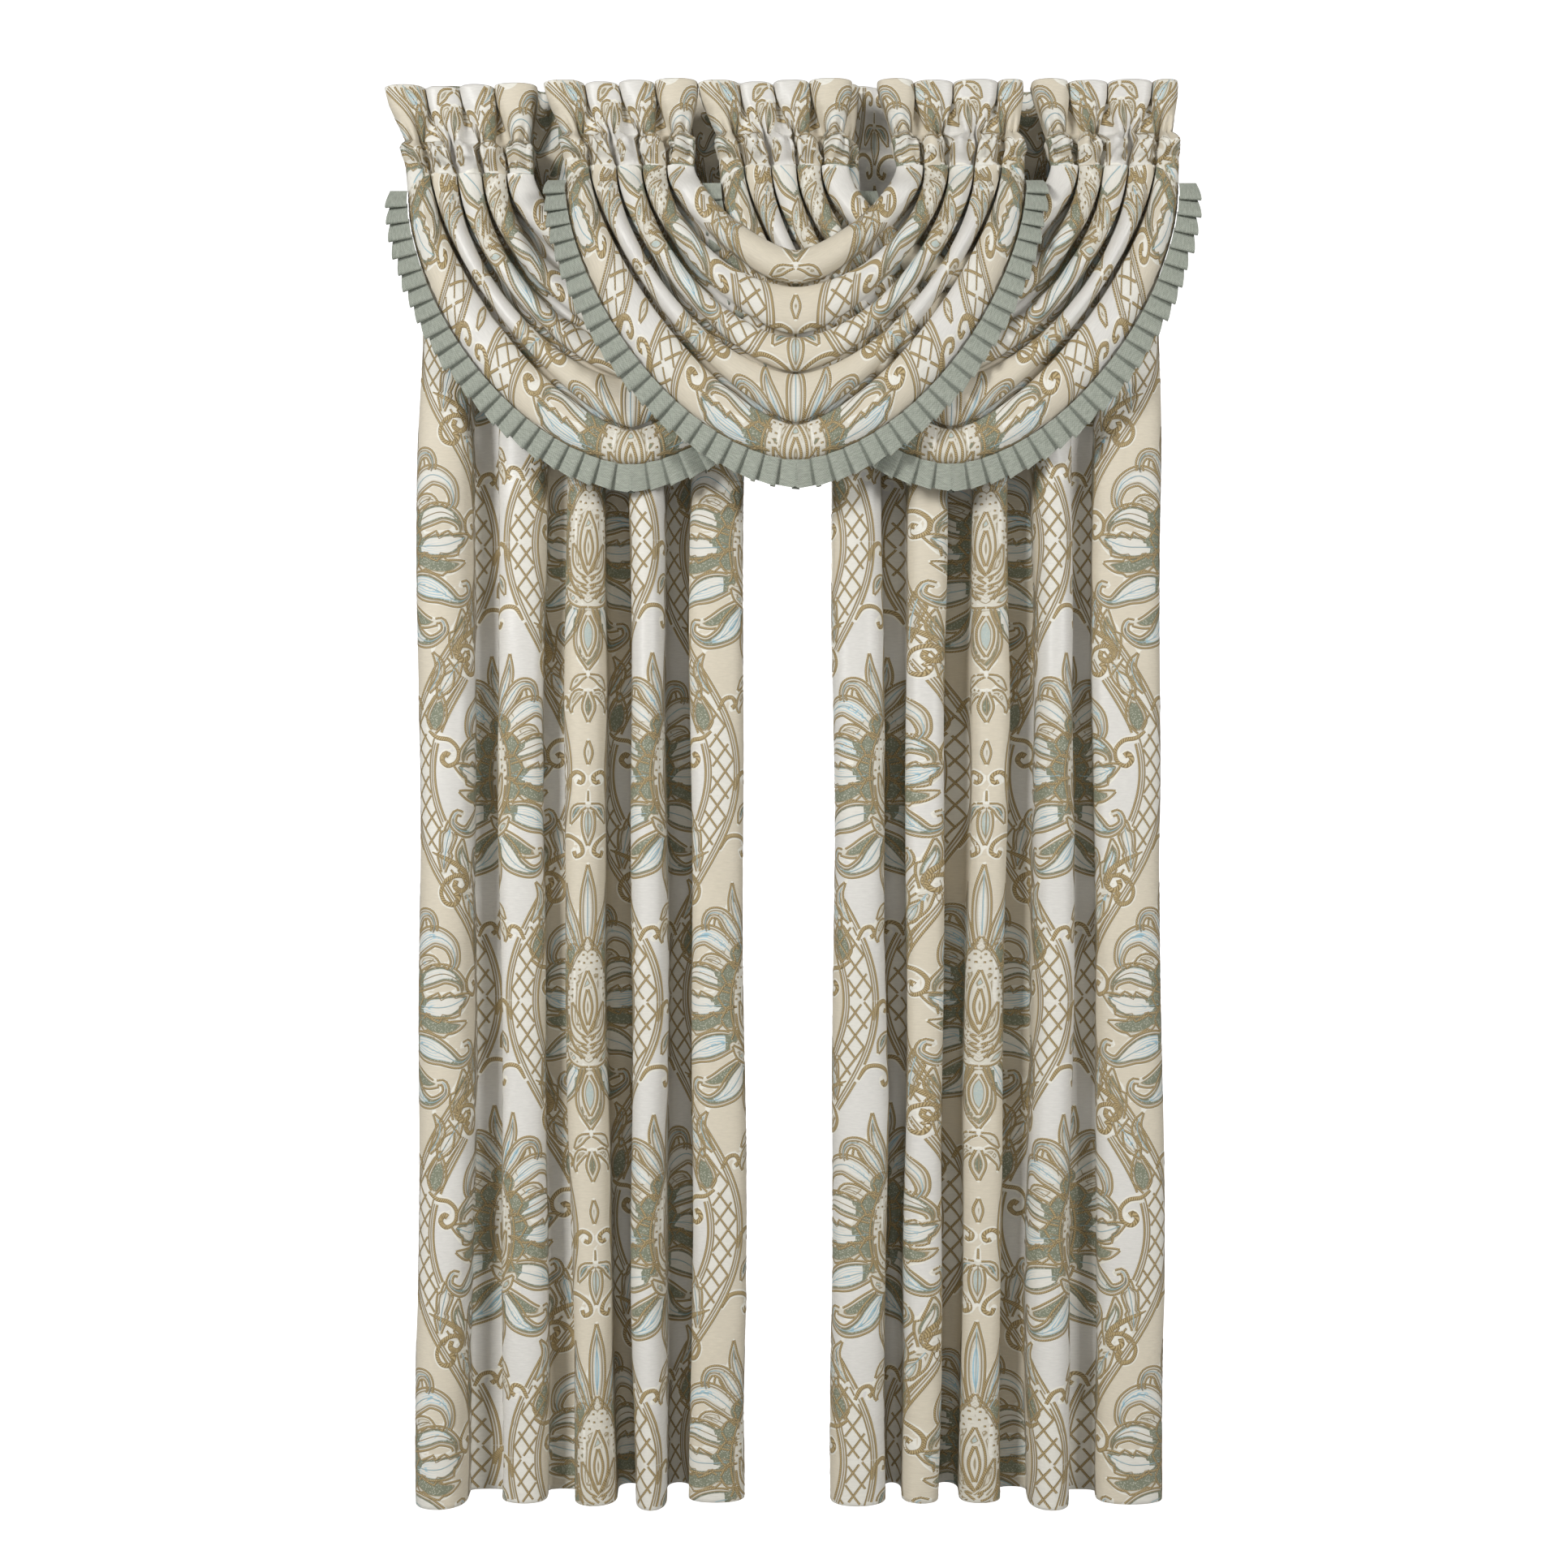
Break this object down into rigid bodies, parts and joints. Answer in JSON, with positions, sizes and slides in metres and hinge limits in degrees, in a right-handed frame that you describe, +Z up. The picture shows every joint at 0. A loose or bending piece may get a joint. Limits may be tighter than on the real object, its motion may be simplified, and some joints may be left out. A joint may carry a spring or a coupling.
{
  "type": "curtain panels with waterfall valances",
  "caption": "Rod-pocket damask curtain panels hanging in folds behind overlapping draped waterfall valances with ruffled headers and pleated trim.",
  "frame": {"origin": "middle of the panels' top edge, on the line of the rod that the panels hang from", "axes": "+Z up, +X to the right seen from the room, -Y into the room (the front)"},
  "size_m": [1.213, 0.1613, 2.134],
  "materials": {
    "damask": "woven satin jacquard in champagne, ivory, gold, sage and pale aqua",
    "trim_canvas": "matt sage basket-weave canvas"
  },
  "bodies": {
    "root": {"panel_left": "damask", "panel_right": "damask", "valance_left_body": "damask", "valance_left_header_left": "damask", "valance_left_header_right": "damask", "valance_left_trim": "trim_canvas", "valance_right_body": "damask", "valance_right_header_left": "damask", "valance_right_header_right": "damask", "valance_right_trim": "trim_canvas", "valance_centre_body": "damask", "valance_centre_header_left": "damask", "valance_centre_header_right": "damask", "valance_centre_trim": "trim_canvas"}
  },
  "joints": []
}
